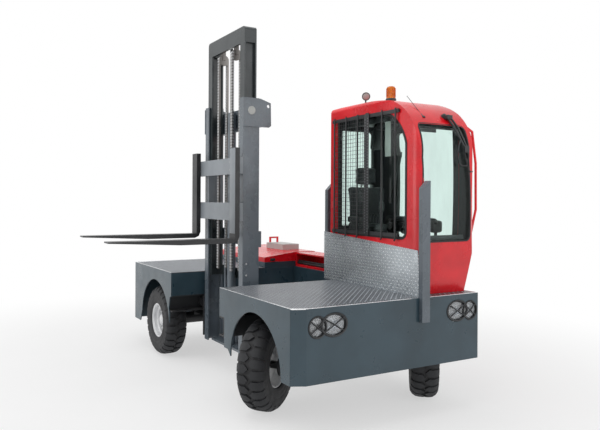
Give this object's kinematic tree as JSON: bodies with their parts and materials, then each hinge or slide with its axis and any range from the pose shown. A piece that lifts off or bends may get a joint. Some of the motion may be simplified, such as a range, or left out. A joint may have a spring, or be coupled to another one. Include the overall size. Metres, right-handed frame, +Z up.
{
  "type": "side-loading fork truck",
  "caption": "Side-loading fork truck: two load platforms, a raised reaching mast with forks between them, an offset glazed cab, engine hood, steered front wheels.",
  "frame": {"origin": "on the ground under the centre of the whole machine's box, forks included", "axes": "+X towards the front of the truck, along its length; +Y towards its left side, away from the forks; +Z up"},
  "size_m": [4.148, 3.222, 3.7599],
  "materials": {
    "body_grey": "dark slate grey gloss paint",
    "deck_plate": "dark checker plate",
    "cab_red": "bright red gloss paint",
    "glazing": "pale green tinted glass",
    "guard_black": "black satin paint",
    "skirt_plate": "bright checker plate",
    "seat_black": "dark seat cover",
    "console_grey": "dark moulded plastic",
    "lamp_glass": "clear lamp lenses",
    "beacon_orange": "amber dome",
    "engine_iron": "dark cast iron",
    "box_pale": "pale grey",
    "cylinder_grey": "dark slate grey paint",
    "rod_chrome": "polished rod",
    "chain_steel": "oiled steel leaf chain",
    "carriage_grey": "light grey paint",
    "fork_black": "dark forged steel, painted",
    "tyre_rubber": "black solid rubber",
    "rim_white": "silver-white paint"
  },
  "bodies": {
    "chassis": {"front_sides": "body_grey", "front_walls": "body_grey", "front_deck": "deck_plate", "rear_sides": "body_grey", "rear_walls": "body_grey", "rear_deck": "deck_plate", "hood_coaming": "body_grey", "side_frame": "body_grey", "chassis_beams": "body_grey", "mast_guides": "body_grey", "steer_axle": "body_grey", "rear_axle": "body_grey", "cab_shell": "cab_red", "cab_glass": "glazing", "cab_guard": "guard_black", "cab_skirt": "skirt_plate", "seat": "seat_black", "console": "console_grey", "stakes": "body_grey", "headlamps": "lamp_glass", "beacon": "beacon_orange", "work_lamp": "guard_black", "grab_rail": "cab_red", "engine": "engine_iron", "hose_cover": "cab_red"},
    "cab_door": {"cab_door": "cab_red", "door_glass": "glazing"},
    "engine_hood": {"engine_hood": "cab_red", "hood_box": "box_pale"},
    "knuckle_right": {"knuckle_right": "body_grey"},
    "knuckle_left": {"knuckle_left": "body_grey"},
    "mast_truck": {"mast_truck": "body_grey"},
    "outer_mast": {"outer_mast": "body_grey", "lift_cylinder": "cylinder_grey", "tilt_rods": "rod_chrome"},
    "inner_mast": {"inner_mast": "body_grey", "lift_rod": "rod_chrome", "lift_chains": "chain_steel"},
    "fork_carriage": {"fork_carriage": "carriage_grey", "forks": "fork_black"},
    "front_right_wheel": {"front_right_tyre": "tyre_rubber", "front_right_rim": "rim_white"},
    "front_left_wheel": {"front_left_tyre": "tyre_rubber", "front_left_rim": "rim_white"},
    "rear_right_wheel": {"rear_right_tyre": "tyre_rubber", "rear_right_rim": "rim_white"},
    "rear_left_wheel": {"rear_left_tyre": "tyre_rubber", "rear_left_rim": "rim_white"}
  },
  "joints": [
    {"name": "steer_right", "type": "hinge", "parent": "chassis", "child": "knuckle_right", "pos_m": [1.372, -0.156, 0.42], "axis": [0, 0, 1], "range_deg": [0, 94]},
    {"name": "steer_left", "type": "hinge", "parent": "chassis", "child": "knuckle_left", "pos_m": [1.372, 1.064, 0.42], "axis": [0, 0, 1], "range_deg": [0, 70]},
    {"name": "front_right_spin", "type": "hinge", "parent": "knuckle_right", "child": "front_right_wheel", "pos_m": [1.16489, -0.30647, 0.42], "axis": [0.809, 0.5878, 0], "continuous": true},
    {"name": "front_left_spin", "type": "hinge", "parent": "knuckle_left", "child": "front_left_wheel", "pos_m": [1.53655, 1.26011, 0.42], "axis": [0.6428, 0.766, 0], "continuous": true},
    {"name": "rear_right_spin", "type": "hinge", "parent": "chassis", "child": "rear_right_wheel", "pos_m": [-1.259, -0.412, 0.42], "axis": [0, 1, 0], "continuous": true},
    {"name": "rear_left_spin", "type": "hinge", "parent": "chassis", "child": "rear_left_wheel", "pos_m": [-1.259, 1.32, 0.42], "axis": [0, 1, 0], "continuous": true},
    {"name": "mast_reach", "type": "slide", "parent": "chassis", "child": "mast_truck", "axis": [0, -1, 0], "range_m": [-1.03, 0.27]},
    {"name": "mast_tilt", "type": "hinge", "parent": "mast_truck", "child": "outer_mast", "pos_m": [-0.0895, -0.086, 0.6], "axis": [1, 0, 0], "range_deg": [-2, 3]},
    {"name": "inner_lift", "type": "slide", "parent": "outer_mast", "child": "inner_mast", "axis": [0, 0, 1], "range_m": [-0.72, 1.25]},
    {"name": "carriage_lift", "type": "slide", "parent": "inner_mast", "child": "fork_carriage", "axis": [0, 0, 1], "range_m": [-0.72, 1.25]},
    {"name": "cab_door_hinge", "type": "hinge", "parent": "chassis", "child": "cab_door", "pos_m": [0.856, 1.498, 1.38], "axis": [0, 0, 1], "range_deg": [0, 85]},
    {"name": "engine_hood_hinge", "type": "hinge", "parent": "chassis", "child": "engine_hood", "pos_m": [-1.814, 0.68, 1.139], "axis": [1, 0, 0], "range_deg": [0, 60]}
  ],
  "couplings": [
    {"joint": "steer_left", "follows": "steer_right", "ratio": 0.7407},
    {"joint": "carriage_lift", "follows": "inner_lift", "ratio": 1}
  ]
}
